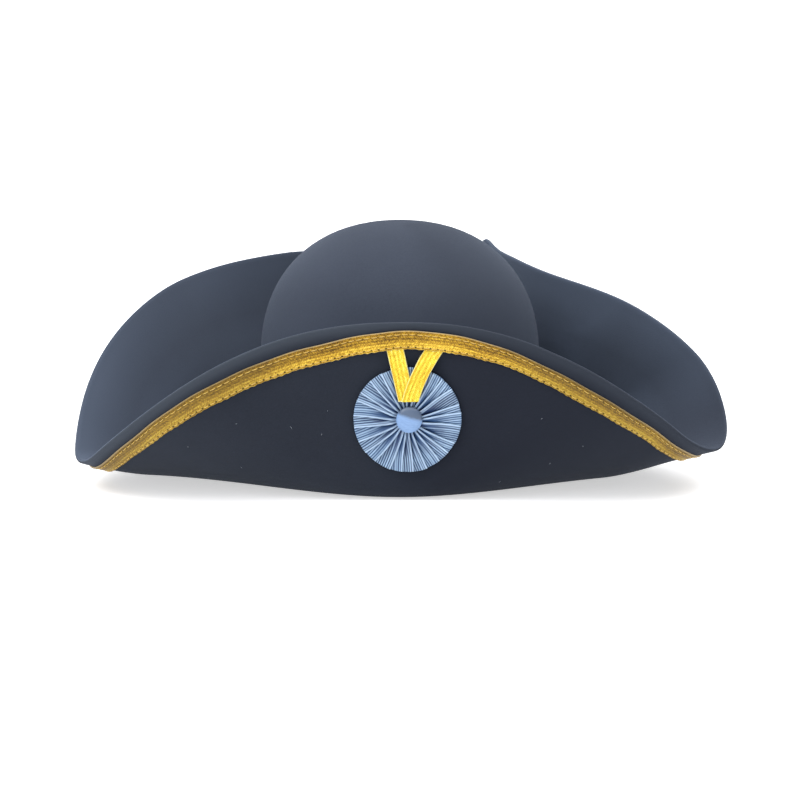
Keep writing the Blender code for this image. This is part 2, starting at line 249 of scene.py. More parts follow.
# How the upper side's painted light grows from the crown, at 0, out to the rim, at 1, and the
# most that it may be.
PAINTED_LIGHT_OUT = (0.0, 0.3, 0.6, 0.72, 0.95)
PAINTED_LIGHT_GROWS = (0.0, 0.4, 0.58, 0.44, 0.95)
PAINTED_LIGHT_MOST_OUT = (0.66, 0.80)
PAINTED_LIGHT_MOST = (1.0, 0.8)
EDGE_PAINTED_LIGHT = 0.6
# The under side's rim gets painted light from the first share out. Its painted shade eases
# from the second share on, by the third.
RIM_LIGHT_FROM = 0.93
SHADE_EASES_FROM = 0.90
SHADE_EASE = 0.45
# The crown gets painted light at its front foot, below this height, and painted shade at its
# right.
CROWN_FOOT_LIGHT = 0.20
CROWN_FOOT_TOP = 0.075
CROWN_FOOT_FADE = 0.035
CROWN_RIGHT_SHADE = 0.40
CROWN_RIGHT = (2, 130)


def smoothstep(share):
    share = np.clip(share, 0.0, 1.0)
    return share * share * (3 - 2 * share)


def blend(low, high, share):
    return low + (high - low) * share


def near(value, centre, spread):
    """A soft bump of height 1 about a centre."""
    return np.exp(-(((value - centre) / spread) ** 2))


def bearing(azimuth):
    """The unit vector in plan at an azimuth in degrees, counted from -Y towards +X."""
    turn = np.radians(azimuth)
    return np.sin(turn), -np.cos(turn)


def turn_from(azimuth, other):
    return (other - azimuth + 180) % 360 - 180


def oval_rim(azimuth):
    """From the crown's axis to the flat brim's outline, an oval that is set a little back."""
    east, north = bearing(azimuth)
    half_width = CROWN_HALF_WIDTH + BRIM_BREADTH
    half_length = CROWN_HALF_LENGTH + BRIM_BREADTH
    square = (east / half_width) ** 2 + (north / half_length) ** 2
    back = north * BRIM_SET_BACK / half_length**2
    rest = 1 - (BRIM_SET_BACK / half_length) ** 2
    return (back + np.sqrt(back**2 + square * rest)) / square


def along_rim(azimuth, rows, column):
    """One column of a short table by azimuth, read smoothly."""
    places, values = [row.azimuth for row in rows], [getattr(row, column) for row in rows]
    turned = turn_from(0, azimuth)
    reads = [np.interp(turned + aside, places, values) for aside in (-4, -2, 0, 2, 4)]
    return np.mean(reads, axis=0)


def rim_radius(azimuth):
    """The oval outline with its small peaks and cuts."""
    peaks = sum(peak.height * near(turn_from(peak.azimuth, azimuth), 0.0, peak.spread)
                for peak in PEAKS)
    return oval_rim(azimuth) + peaks - along_rim(azimuth, FRONT_CUTS, "inwards")


def fold(x, y):
    """Where points of the flat brim lie once the three flaps are folded up."""
    place = np.stack([x, y, np.zeros_like(x)], axis=-1)
    for flap in FLAPS:
        east, north = bearing(flap.azimuth)
        along = (y * east - x * north) / (FOLD_REACH * BRIM_BREADTH)
        line = np.hypot(east * CROWN_HALF_WIDTH, north * CROWN_HALF_LENGTH)
        line += BRIM_BREADTH * (flap.out + FOLD_BOW * along**2)
        past = x * east + y * north - line
        opened = smoothstep(abs(along))
        end_angle = np.where(along < 0, flap.first_angle, flap.last_angle)
        end_bend = np.where(along < 0, flap.first_bend, flap.last_bend)
        angle = np.radians(blend(flap.angle, end_angle, opened))
        bend = blend(flap.bend, end_bend, opened) * BRIM_BREADTH
        half = bend * angle / 2
        turned = np.clip((past + half) / bend, 0.0, angle)
        straight = np.maximum(past - half, 0.0)
        outward = bend * np.sin(turned) + straight * np.cos(angle) - half - past
        outward = np.where(past > -half, outward, 0.0)
        upward = bend * (1 - np.cos(turned)) + straight * np.sin(angle)
        place += np.stack([outward * east, outward * north, upward], axis=-1)
    return place


def hand_shaping(place):
    """How far the brim stands off its smooth form, after it was shaped by hand in steam.

    Three slow waves, about 100, 80 and 40 mm long, which fade out where the brim lies flat.
    """
    x, y, z = np.moveaxis(place, -1, 0)
    wave = np.sin(61 * x - 17 * y + 0.7) + 0.7 * np.sin(38 * x + 71 * y + 2.1)
    wave = wave + 0.4 * np.sin(140 * x - 50 * z)
    return HAND_WAVE * wave * smoothstep(z / WAVE_FROM_HEIGHT)


def tip_sag(x, y):
    """How far the front right horn's tip stands off its fold."""
    azimuth = np.degrees(np.arctan2(x, -y))
    out = (np.hypot(x, y) - CROWN_HALF_WIDTH) / (oval_rim(azimuth) - CROWN_HALF_WIDTH)
    sag = TIP_SAG * near(turn_from(TIP_SAG_AZIMUTH, azimuth), 0.0, TIP_SAG_SPREAD)
    return sag * smoothstep((out - TIP_SAG_FROM) / (1 - TIP_SAG_FROM))


def on_felt(x, y, lift=0.0):
    """Points on the outer face of the folded brim, or that far off it, in the frame."""
    step = 0.0005
    here = fold(x, y)
    normal = np.cross(fold(x, y + step) - here, fold(x + step, y) - here)
    normal /= np.linalg.norm(normal, axis=-1, keepdims=True)
    lift = lift + hand_shaping(here) + tip_sag(x, y)
    return CROWN_AXIS + here + lift[..., None] * normal


def grid_faces(rows, columns, closed):
    """Quads over a grid of points. A closed grid joins its last column to its first."""
    row, column = np.meshgrid(np.arange(rows - 1), np.arange(columns - (not closed)), indexing="ij")
    after = (column + 1) % columns
    corners = (row * columns + column, row * columns + after,
               (row + 1) * columns + after, (row + 1) * columns + column)
    return np.stack(corners, axis=-1).reshape(-1, 4)


def tube_faces(rows, columns, first=0):
    """Quads round a closed grid, and a cap over each of its ends."""
    start, end = list(range(first, first + columns)), first + (rows - 1) * columns
    quads = (first + grid_faces(rows, columns, closed=True)).tolist()
    return quads + [start[::-1], list(range(end, end + columns))]


def add_piece(name, mesh, finish):
    """Makes a piece that rides on the hat, from its points, its faces and perhaps its marks.

    The marks are two numbers a point, which its material reads.
    """
    points, faces, *marks = mesh
    data = bpy.data.meshes.new(name)
    data.from_pydata(points.reshape(-1, 3).tolist(), [], [list(face) for face in faces])
    data.materials.append(finish)
    data.shade_smooth()
    if marks:
        corners = np.empty(len(data.loops), np.int32)
        data.loops.foreach_get("vertex_index", corners)
        layer = data.uv_layers.new(name="marks")
        layer.data.foreach_set("uv", marks[0].reshape(-1, 2)[corners].astype(np.float32).ravel())
    piece = bpy.data.objects.new(name, data)
    bpy.context.scene.collection.objects.link(piece)
    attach(piece, "root")
    return piece


def felt_sheet():
    """The underside of the brim and the inside of the crown, as rings from the rim to the top."""
    azimuth = np.linspace(0, 360, FELT_COLUMNS, endpoint=False)
    east, north = bearing(azimuth)
    oval = 1 / np.hypot(east / (CROWN_HALF_WIDTH - FELT), north / (CROWN_HALF_LENGTH - FELT))
    rings = []
    for share in np.linspace(1, 0, BRIM_ROWS):
        radius = blend(oval + BREAK_RADIUS, rim_radius(azimuth), share)
        rings.append(on_felt(radius * east, radius * north))
    upright = []
    for turn in np.linspace(0, np.pi / 2, BREAK_ROWS + 1)[1:]:
        upright.append((oval + BREAK_RADIUS * (1 - np.sin(turn)),
                        BREAK_RADIUS * (1 - np.cos(turn))))
    for height in np.linspace(BREAK_RADIUS, CROWN_WALL, WALL_ROWS + 1)[1:]:
        scale = blend(1, CROWN_TOP_SCALE, smoothstep(height / CROWN_WALL))
        upright.append((oval * scale, height))
    for turn in np.linspace(0, np.pi / 2, DOME_ROWS + 1)[1:-1]:
        scale = CROWN_TOP_SCALE * np.cos(turn) ** (2 / CROWN_ROUNDNESS)
        height = blend(CROWN_WALL, CROWN_HEIGHT - FELT, np.sin(turn) ** (2 / CROWN_ROUNDNESS))
        upright.append((oval * scale, height))
    for radius, height in upright:
        ring = np.stack([radius * east, radius * north, np.full_like(east, height)], axis=-1)
        rings.append(CROWN_AXIS + ring)
    return np.array(rings)


def painted_light_marks(heights):
    """How much painted light and painted shade each point of the felt gets, as its two marks."""
    azimuth = np.linspace(0, 360, FELT_COLUMNS, endpoint=False)
    turned = turn_from(0, azimuth)
    nap = along_rim(azimuth, PAINTED_TONES, "nap")
    against = along_rim(azimuth, PAINTED_TONES, "against")
    rubbed = along_rim(azimuth, PAINTED_TONES, "rubbed")
    rim_inwards = np.linspace(1, 0, BRIM_ROWS)
    crown_outwards = rim_inwards[::-1]
    edge = (len(heights) - EDGE_ROWS) // 2
    upper = edge + EDGE_ROWS
    crown = upper + BRIM_ROWS
    light_share, shade_share = np.zeros_like(heights), np.zeros_like(heights)

    # Painted shade on the under side, eased towards the rim, and painted light on its rim.
    shade_share[:edge] = against
    shade_eased = smoothstep((crown_outwards - SHADE_EASES_FROM) / (RIM_LIGHT_FROM - SHADE_EASES_FROM))
    shade_share[edge - BRIM_ROWS:edge] = np.outer(1 - SHADE_EASE * shade_eased, against)
    rim_light_out = smoothstep((crown_outwards - RIM_LIGHT_FROM) / (1 - RIM_LIGHT_FROM))
    light_share[edge - BRIM_ROWS:edge] = np.outer(rim_light_out, rubbed)

    # Painted light on the upper side, or painted shade where the table is below 0.
    upper_light = np.outer(np.interp(rim_inwards, PAINTED_LIGHT_OUT, PAINTED_LIGHT_GROWS), nap)
    most = np.interp(rim_inwards, PAINTED_LIGHT_MOST_OUT, PAINTED_LIGHT_MOST)[:, None]
    light_share[upper:crown] = np.clip(upper_light, 0, most)
    shade_share[upper:crown] = np.maximum(-upper_light, 0)

    # The cut edge gets painted light and eased painted shade; the upper side's first rows take part
    # of that light.
    shade_share[edge:upper] = (1 - SHADE_EASE) * against
    light_share[edge:upper] = rubbed
    light_share[upper - 2:upper] = EDGE_PAINTED_LIGHT * light_share[upper]

    # Painted light at the crown's front foot, and painted shade at its right.
    facing = np.clip(np.cos(np.radians(azimuth)), 0, 1) ** 2
    foot = 1 - smoothstep((heights[crown:] - CROWN_FOOT_TOP) / CROWN_FOOT_FADE)
    light_share[crown:] = CROWN_FOOT_LIGHT * facing * foot
    right = smoothstep((turned - CROWN_RIGHT[0]) / 30) * smoothstep((CROWN_RIGHT[1] - turned) / 40)
    shade_share[crown:] = CROWN_RIGHT_SHADE * right
    return np.stack([light_share, shade_share], axis=-1)


def felt_mesh():
    """The sheet with its thickness and its slightly rounded cut edge, closed at the crown's top.

    Its rings go from inside the crown's top out to the rim, round it, and back over the upper
    side. The faces that take the lighter copy of the felt, with its painted light, are marked
    with 1.
    """
    under = felt_sheet()
    round_about = np.roll(under, -1, axis=1) - np.roll(under, 1, axis=1)
    inwards = np.gradient(under, axis=0)
    normal = np.cross(round_about, inwards)
    normal /= np.linalg.norm(normal, axis=-1, keepdims=True)
    if normal[0, 0] @ (0, -1, 0) < 0:
        normal = -normal
    upper = under - FELT * normal
    middle = (under[0] + upper[0]) / 2
    outwards = -inwards[0] / np.linalg.norm(inwards[0], axis=-1, keepdims=True)
    edge = [
        middle + (under[0] - middle) * np.cos(turn) + EDGE_BULGE * outwards * np.sin(turn)
        for turn in np.linspace(0, np.pi, EDGE_ROWS + 2)[1:-1]
    ]
    rings = np.concatenate([under[::-1], edge, upper])
    faces = grid_faces(len(rings), FELT_COLUMNS, closed=True).tolist()
    points = rings.reshape(-1, 3)
    last = len(points) - FELT_COLUMNS
    inner_top, outer_top = len(points), len(points) + 1
    for i in range(FELT_COLUMNS):
        after = (i + 1) % FELT_COLUMNS
        faces.append((after, i, inner_top))
        faces.append((last + i, last + after, outer_top))
    tops = [CROWN_AXIS + (0, 0, CROWN_HEIGHT - FELT), CROWN_AXIS + (0, 0, CROWN_HEIGHT)]
    # The upper side and crown take the lighter, painted-light copy; the under side the darker,
    # painted-shade one.
    lit_copy = np.zeros(len(faces), np.int32)
    lit_copy[(len(under) + EDGE_ROWS // 2) * FELT_COLUMNS:] = 1
    lit_copy[len(faces) - 2 * FELT_COLUMNS::2] = 0
    marks = np.zeros((len(points) + len(tops), 2))
    marks[:len(points)] = painted_light_marks(rings[..., 2]).reshape(-1, 2)
    return (np.concatenate([points, tops]), faces, marks), lit_copy


def mix_in(tree, share, under, over):
    """Lays a colour over another by a share. Each is a socket or an sRGB code."""
    settings, links = {"data_type": "RGBA", "clamp_factor": True}, {0: share}
    for key, colour in ((6, under), (7, over)):
        if isinstance(colour, int):
            settings[key] = srgb(colour)
        else:
            links[key] = colour
    return add_node(tree, "ShaderNodeMix", settings, links).outputs[2]


# Patches and matted tufts a metre.
FELT_PATCHES = 22.0
FELT_MATTING = 1100.0


def wool_felt(name, dark, light, painted_light_tone, against, sheen):
    """Wool felt: fibres matted by steam and rubbing, so it is matt, with a faint bloom at edges.

    The fibres are 0.02 mm thick, too fine to show, so the matting is drawn at 1 mm. Dye and
    pressing leave patches of about 45 mm. Painted light from the marks makes the felt lighter,
    and painted shade makes it darker.
    """
    made, tree = new_material(name)
    place = add_node(tree, "ShaderNodeTexCoord").outputs["Object"]
    patches = add_node(tree, "ShaderNodeTexNoise",
                       {"Scale": FELT_PATCHES, "Detail": 3.0, "Roughness": 0.55}, {"Vector": place})
    fibres = add_node(tree, "ShaderNodeTexNoise",
                      {"Scale": FELT_MATTING, "Detail": 5.0, "Roughness": 0.7, "Distortion": 1.2},
                      {"Vector": place})
    tone = add_node(tree, "ShaderNodeMath", {"operation": "MULTIPLY_ADD", 1: 0.45},
                    {0: patches.outputs["Fac"], 2: fibres.outputs["Fac"]})
    spread = add_node(tree, "ShaderNodeMapRange", {"From Min": 0.30, "From Max": 1.15},
                      {"Value": tone.outputs[0]})
    colour = mix_in(tree, spread.outputs["Result"], dark, light)
    marks = add_node(tree, "ShaderNodeUVMap", {"uv_map": "marks"})
    nap = add_node(tree, "ShaderNodeSeparateXYZ", links={"Vector": marks.outputs[0]})
    # Painted light and painted shade, from the piece's marks.
    colour = mix_in(tree, nap.outputs["X"], colour, painted_light_tone)
    colour = mix_in(tree, nap.outputs["Y"], colour, against)
    finish_material(tree, colour, fibres.outputs["Fac"], 0.45, 0.0003, {
        "Roughness": 0.95, "Specular IOR Level": 0.2,
        "Sheen Weight": sheen, "Sheen Roughness": 0.45, "Sheen Tint": srgb(0xA9B9D2)})
    return made


shell, lit_copy_faces = felt_mesh()
# The under side takes a darker copy of the felt: painted shade for the faces that turn away
# from the light.
felt_painted_shaded = wool_felt("wool_felt_painted_shaded", 0x1B1F28, 0x272C36, painted_light_tone=0x3A4049,
                         against=0x181C26, sheen=0.06)
# The crown and the brim's upper side take a lighter copy of the felt: painted light for the
# faces that the light falls on. Their painted light is strongest towards the rim.
felt_painted_lit = wool_felt("wool_felt_painted_lit", 0x2A2F3A, 0x383E4A, painted_light_tone=0x535D6E,
                         against=0x232832, sheen=0.14)
felt = add_piece("felt_shell", shell, felt_painted_shaded)
felt.data.materials.append(felt_painted_lit)
felt.data.polygons.foreach_set("material_index", lit_copy_faces)
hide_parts("felt_body")


# Edge braid
# A flat woven gold braid 10.5 mm wide. It is machine-sewn along both its edges to the outer
# face of the brim, starts at the back horn, and laps over its own start there.
GAP = 0.0003
BRAID_WIDTH = 0.0105
BRAID_THICK = 0.0010
BRAID_MARGIN = 0.0082
BRAID_RISE = 0.0038
BRAID_RISE_SPREAD = 11
# Its colour is painted duller between these distances from the hat's middle: a painted shade
# for the shine that its metal yarn turns away from the eye towards the horns.
DIMMED_FROM = 0.035
DIMMED_FULL = 0.095
# How the braid lies on the front flap: how far in from an even line it was laid, and its width,
# which is less where it was pulled tight.
Lay = namedtuple("Lay", "azimuth inwards width")
BRAID_LAYS = (
    Lay(-70, 0.0, 1.0), Lay(-56, -0.0008, 1.0), Lay(-44, -0.0019, 1.0), Lay(-38, -0.0017, 1.0),
    Lay(-31, -0.0003, 1.0), Lay(-24, 0.0014, 1.02), Lay(-17, 0.0019, 1.0), Lay(-9, 0.0015, 1.0),
    Lay(-2, 0.0008, 1.0), Lay(5, -0.0002, 1.0), Lay(11, -0.0012, 0.97), Lay(15, -0.0008, 0.88),
    Lay(20, 0.0003, 0.82), Lay(26, 0.0011, 0.84), Lay(33, 0.0006, 0.86), Lay(40, 0.0, 0.85),
    Lay(49, -0.0016, 0.88), Lay(58, -0.0002, 1.0), Lay(66, 0.0056, 1.0), Lay(78, 0.0050, 1.0),
    Lay(94, 0.0, 1.0),
)
BRAID_START = 181
BRAID_LAP = 2.6
LAP_RISES = 1.2
LAP_STEP = 0.004
STITCH = 0.0042
COLUMNS_A_STITCH = 5
UPPER_SEAM = 0.0031
LOWER_SEAM = -0.0040
BRAID_RIB = 0.00175
RIB_HEIGHT = 0.00008
SELVEDGE = 0.00055
CORD_SPREAD = 0.00042
SEAM_DEPTH = 0.00014
DIMPLE_DEPTH = 0.00030
SCALLOP = 0.00036
SHOULDER = 0.0004
BRAID_ROWS = 29
# Of the weave's thickness, its ground is this share and its corded edges add the other.
GROUND_SHARE = 0.62
CORD_SHARE = 0.30
LACE_WIDTH = 0.0095
LACE_THICK = 0.0009
LACE_HUMP_LEFT = -0.0100
LACE_HUMP_RIGHT = 0.0270
LACE_HUMP_SPREAD = 0.0120


def braid_margin(azimuth):
    """From the rim to the braid, which rises towards the rim in the middle of each flap."""
    away = np.min([abs(turn_from(flap.azimuth, azimuth)) for flap in FLAPS], axis=0)
    return BRAID_MARGIN - BRAID_RISE * near(away, 0.0, BRAID_RISE_SPREAD)


def over_lace(x, y):
    """The braid's hump over the two tucked ends of the lace."""
    beyond = np.maximum(np.maximum(LACE_HUMP_LEFT - x, x - LACE_HUMP_RIGHT), 0.0)
    return np.where(y < 0, LACE_THICK * (1 - smoothstep(beyond / LACE_HUMP_SPREAD)), 0.0)


def braid_place(azimuth, across):
    east, north = bearing(azimuth)
    middle = oval_rim(azimuth) - braid_margin(azimuth) - BRAID_WIDTH / 2
    middle = middle - along_rim(azimuth, BRAID_LAYS, "inwards")
    radius = middle + across * along_rim(azimuth, BRAID_LAYS, "width")
    return radius * east, radius * north


braid_azimuths = np.linspace(BRAID_START, BRAID_START + 360 + BRAID_LAP, 6000)
middle_line = on_felt(*braid_place(braid_azimuths, 0.0))
steps = np.linalg.norm(np.diff(middle_line, axis=0), axis=1)
braid_lengths = np.concatenate([[0.0], np.cumsum(steps)])
braid_end = braid_lengths[-1]
lap_from = np.interp(BRAID_START + 360 - LAP_RISES, braid_azimuths, braid_lengths)


def on_braid(along, across, height):
    """Points on the braid: along its middle, across it towards the rim, and over the felt.

    It sways a little where the machine's feed let it wander.
    """
    azimuth = np.interp(along, braid_lengths, braid_azimuths)
    sway = 0.00018 * np.sin(along * 97) + 0.00014 * np.sin(along * 211 + 1.0)
    x, y = braid_place(azimuth, across + sway)
    lap = 1.15 * BRAID_THICK * smoothstep((along - lap_from) / LAP_STEP)
    return on_felt(x, y, GAP + over_lace(x, y) + lap + height)


def braid_height(along, across):
    """The woven surface over the braid's back: corded selvedges, ribs, and a dimple a stitch."""
    edge = BRAID_WIDTH / 2 - SELVEDGE
    height = BRAID_THICK * (GROUND_SHARE + CORD_SHARE * near(abs(across), edge, CORD_SPREAD))
    height += RIB_HEIGHT * np.cos(2 * np.pi * across / BRAID_RIB)
    from_hole = STITCH * ((along / STITCH + 0.5) % 1 - 0.5)
    for seam in (UPPER_SEAM, LOWER_SEAM):
        height -= SEAM_DEPTH * near(across, seam, 0.00042)
        height -= DIMPLE_DEPTH * near(across, seam, 0.00055) * near(from_hole, 0.0, 0.0006)
    shoulder = np.clip((BRAID_WIDTH / 2 - abs(across)) / SHOULDER, 0, 1)
    return height * np.sqrt(1 - (1 - shoulder) ** 2)


def closed_band(top, back, along, across):
    """A woven face and a flat back, joined and closed, with the places in the weave in mm."""
    points = np.concatenate([top, back], axis=1)
    marks = 1000 * np.stack([along, across], axis=-1)
    marks = np.concatenate([marks, marks[:, [-1, 0]]], axis=1)
    return points, tube_faces(*points.shape[:2]), marks


def braid_mesh():
    """The braid as a closed band, with a small scallop a stitch along its lower edge."""
    along = np.arange(0, braid_end, STITCH / COLUMNS_A_STITCH)
    face = np.linspace(-BRAID_WIDTH / 2, BRAID_WIDTH / 2, BRAID_ROWS)
    along, face = np.meshgrid(along, face, indexing="ij")
    scallop = SCALLOP * (0.5 - 0.5 * np.cos(2 * np.pi * along / STITCH))
    scallop = scallop * (1 + 0.5 * np.sin(along * 373))
    lower = smoothstep((-face - 0.25 * BRAID_WIDTH) / (0.25 * BRAID_WIDTH))
    top = on_braid(along, face - scallop * lower, braid_height(along, face))
    back = on_braid(along[:, [-1, 0]], face[:, [-1, 0]], 0.0)
    return closed_band(top, back, along, face)


def shader_sums(tree):
    """A function that adds an arithmetic node, on sockets or numbers, and gives its socket."""
    def step(operation, *values):
        numbers = {i: v for i, v in enumerate(values) if isinstance(v, (int, float))}
        sockets = {i: v for i, v in enumerate(values) if not isinstance(v, (int, float))}
        settings = {"operation": operation, **numbers}
        return add_node(tree, "ShaderNodeMath", settings, sockets).outputs[0]
    return step


def marks_of(tree):
    """The sockets of a piece's marks: both together, and each by itself."""
    marks = add_node(tree, "ShaderNodeUVMap", {"uv_map": "marks"}).outputs[0]
    split = add_node(tree, "ShaderNodeSeparateXYZ", links={"Vector": marks})
    return marks, split.outputs["X"], split.outputs["Y"]


def gold_weave(name, tones, selvedge, half_width, rib, thread, zigzag, mottle, lower_light,
               side_dimmed, fold_highlight_width, holes):
    """Woven metallised rayon: ribs crossed by slanting threads, half dull with small gold glints.

    The cross threads are 0.3 mm apart in real braid, and are drawn 1.1 to 1.3 mm apart to show.
    Its small gold glints, and a lighter lower half by lower_light, are painted highlights in the
    colour. Towards the horns the colour is painted duller, a painted shade for the shine that the
    yarn turns away there. Lengths are in mm.
    """
    made, tree = new_material(name)
    sums = shader_sums(tree)
    marks, along, across = marks_of(tree)
    wander = add_node(tree, "ShaderNodeTexNoise", {"Scale": 0.5, "Detail": 1.0},
                      {"Vector": marks}).outputs["Fac"]
    slant = sums("MULTIPLY_ADD", sums("PINGPONG", across, zigzag), 0.8, along)
    slant = sums("MULTIPLY_ADD", wander, 2.4, slant)
    threads = sums("SINE", sums("MULTIPLY", slant, 2 * math.pi / thread))
    threads = sums("MULTIPLY_ADD", threads, 0.5, 0.5)
    ribs = sums("COSINE", sums("MULTIPLY", across, 2 * math.pi / rib))
    ribs = sums("MULTIPLY_ADD", ribs, 0.5, 0.5)
    stretched = add_node(tree, "ShaderNodeCombineXYZ", links={
        "X": sums("MULTIPLY", along, 0.3), "Y": sums("MULTIPLY", across, 1.6)})
    strands = add_node(tree, "ShaderNodeTexNoise", {"Scale": 1.0, "Detail": 3.0, "Roughness": 0.6},
                       {"Vector": stretched.outputs[0]}).outputs["Fac"]
    flecks = add_node(tree, "ShaderNodeTexNoise", {"Scale": 0.85, "Detail": 2.0, "Roughness": 0.5},
                      {"Vector": marks}).outputs["Fac"]
    slow = add_node(tree, "ShaderNodeTexNoise", {"Scale": 0.03, "Detail": 2.0},
                    {"Vector": marks}).outputs["Fac"]
    shade = sums("MULTIPLY_ADD", threads, 0.26, sums("MULTIPLY", ribs, 0.24))
    shade = sums("ADD", strands, shade)
    shade = sums("MULTIPLY_ADD", flecks, mottle, sums("ADD", shade, 0.55 - mottle / 2))
    shade = sums("MULTIPLY_ADD", slow, 0.8, shade)
    # Painted highlight: the lower half of the weave is lighter and the upper half darker.
    lower = add_node(tree, "ShaderNodeMapRange", {
        "interpolation_type": "SMOOTHSTEP", "From Min": 1.0, "From Max": -2.6,
        "To Min": -lower_light, "To Max": lower_light}, {"Value": across}).outputs[0]
    shade = sums("SUBTRACT", sums("ADD", shade, lower), 1.18)
    place = add_node(tree, "ShaderNodeTexCoord").outputs["Object"]
    sideways = add_node(tree, "ShaderNodeSeparateXYZ", links={"Vector": place}).outputs["X"]
    side_dimming = add_node(tree, "ShaderNodeMapRange", {
        "interpolation_type": "SMOOTHSTEP", "From Min": DIMMED_FROM, "From Max": DIMMED_FULL,
        "To Max": side_dimmed}, {"Value": sums("ABSOLUTE", sideways)}).outputs[0]
    ramp = add_node(tree, "ShaderNodeValToRGB", links={"Fac": shade})
    ramp.color_ramp.elements.new(0.35)
    ramp.color_ramp.elements.new(0.68)
    for element, position, tone in zip(ramp.color_ramp.elements, (0.0, 0.35, 0.68, 1.0), tones):
        element.position = position
        element.color = srgb(tone)
    edge = sums("MULTIPLY", sums("SUBTRACT", sums("ABSOLUTE", across), half_width - 0.50), 2.2)
    # Painted highlight: a pale line along the lace's folded end, where its crest catches the light.
    if fold_highlight_width:
        edge = sums("MAXIMUM", edge, sums("MULTIPLY", sums("SUBTRACT", fold_highlight_width, along), 2.0))
    colour = mix_in(tree, edge, ramp.outputs["Color"], selvedge)
    # Painted shade: towards the sides the colour is dimmed to a dull brown-gold.
    colour = mix_in(tree, side_dimming, colour, 0x5A4A20)
    # Painted shade: dark brown spots in the needle holes along the lower seam.
    if holes:
        phase = sums("FRACT", sums("ADD", sums("DIVIDE", along, 1000 * STITCH), 0.5))
        away = sums("MULTIPLY", sums("SUBTRACT", phase, 0.5), 1000 * STITCH * 0.75)
        down = sums("SUBTRACT", across, 1000 * LOWER_SEAM)
        square = sums("ADD", sums("MULTIPLY", away, away), sums("MULTIPLY", down, down))
        inside = sums("SUBTRACT", sums("ADD", flecks, 0.15), sums("SQRT", square))
        colour = mix_in(tree, sums("MULTIPLY", inside, 2.2), colour, 0x3A280C)
    relief = sums("MULTIPLY_ADD", strands, 0.5, sums("MULTIPLY_ADD", threads, 0.6, ribs))
    finish_material(tree, colour, relief, 0.8, 0.00028, {
        "Roughness": 0.45, "Metallic": 0.35, "Specular IOR Level": 0.3})
    return made


braid_gold = gold_weave("woven_gold_braid", (0x4E360A, 0x8E6A18, 0xBF9726, 0xEECB4C), 0xBBA67E,
                        half_width=500 * BRAID_WIDTH, rib=1000 * BRAID_RIB, thread=1.3,
                        zigzag=3.5, mottle=1.1,
                        lower_light=0.20, side_dimmed=0.5, fold_highlight_width=0.0, holes=True)
braid = add_piece("gold_edge_braid", braid_mesh(), braid_gold)
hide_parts("edge_braid")


# Seam stitches
# Two rows of lockstitch in gold cotton thread, which hold the braid's edges. Each stitch lies
# on the braid for 3 mm and dives through it at both ends.
THREAD_RADIUS = 0.00024
THREAD_ARCH = 0.00078
THREAD_LIFT = 0.00006
THREAD_SKEW = 0.00007
STITCH_FROM = 0.07
STITCH_SHOWS = 0.86
STITCH_STEPS = 6
STITCH_SIDES = 6


def seam_stitches():
    """Every stitch of both rows, as short closed tubes along the braid."""
    count = int((braid_end - STITCH) / STITCH)
    share = np.linspace(0, 1, STITCH_STEPS + 1)
    turn = np.linspace(0, 2 * np.pi, STITCH_SIDES, endpoint=False)
    points, faces = [], []
    rng = np.random.default_rng(5)
    for seam in (UPPER_SEAM, LOWER_SEAM):
        start = STITCH * (np.arange(count) + STITCH_FROM)[:, None, None]
        skew = rng.normal(0, THREAD_SKEW, (count, 1, 1))
        along = start + STITCH_SHOWS * STITCH * share[None, :, None]
        radius = THREAD_RADIUS * (0.55 + 0.45 * np.sin(np.pi * share))[None, :, None]
        across = seam + skew * (share[None, :, None] - 0.5) + radius * np.cos(turn)
        arch = THREAD_ARCH * np.sin(np.pi * share)[None, :, None] ** 0.5 + THREAD_LIFT
        along = np.broadcast_to(along, across.shape)
        height = arch + radius * np.sin(turn)
        points.append(on_braid(along, across, height).reshape(-1, 3))
    points = np.concatenate(points)
    for first in range(0, len(points), len(share) * STITCH_SIDES):
        faces += tube_faces(len(share), STITCH_SIDES, first)
    return points, faces


def cotton_thread():
    """Gold sewing cotton: a soft dull sheen, with a twist too fine to show."""
    made, tree = new_material("gold_sewing_cotton")
    place = add_node(tree, "ShaderNodeTexCoord").outputs["Object"]
    twist = add_node(tree, "ShaderNodeTexNoise", {"Scale": 1800.0, "Detail": 2.0},
                     {"Vector": place}).outputs["Fac"]
    finish_material(tree, mix_in(tree, twist, 0xB08430, 0xE2C460), twist, 0.4, 0.0001,
                    {"Roughness": 0.55, "Sheen Weight": 0.2})
    return made


add_piece("seam_stitches", seam_stitches(), cotton_thread())


# Cockade
# Light blue grosgrain ribbon laid in 25 knife pleats round a small hole, with each pleat's fold
# over the last. It is sewn to the front flap. The folds stand up round the button and are
# pressed flat at the outer edge, where the ribbon's selvedge shows.
COCKADE_RADIUS = 0.030
COCKADE_BELOW_RIM = 0.0553
COCKADE_HOLE = 0.0036
PLEATS = 25
PLEAT_LAP = 0.0009
FOLD_RADIUS = 0.00042
RIBBON_RIB = 0.00134
RIB_DEPTH = 0.00010
# The folds' height at the hole, round the button and at the outer edge, and that of the ribbon
# between them.
CREST_HOLE, CREST_TOP, CREST_EDGE = 0.0034, 0.0049, 0.0027
BED_HOLE, BED_EDGE = 0.0021, 0.0017
PLEAT_COLUMNS = 40
PLEAT_ROWS = 30
FOLD_COLUMNS = 6
PLEAT_SHIFT = 40.0
COCKADE_X = 0.0042
COCKADE_Y = COCKADE_BELOW_RIM - oval_rim(0)


def on_cockade(right, up, height):
    """Points over the front flap, from the cockade's middle."""
    return on_felt(COCKADE_X + right, COCKADE_Y - up, GAP + height)


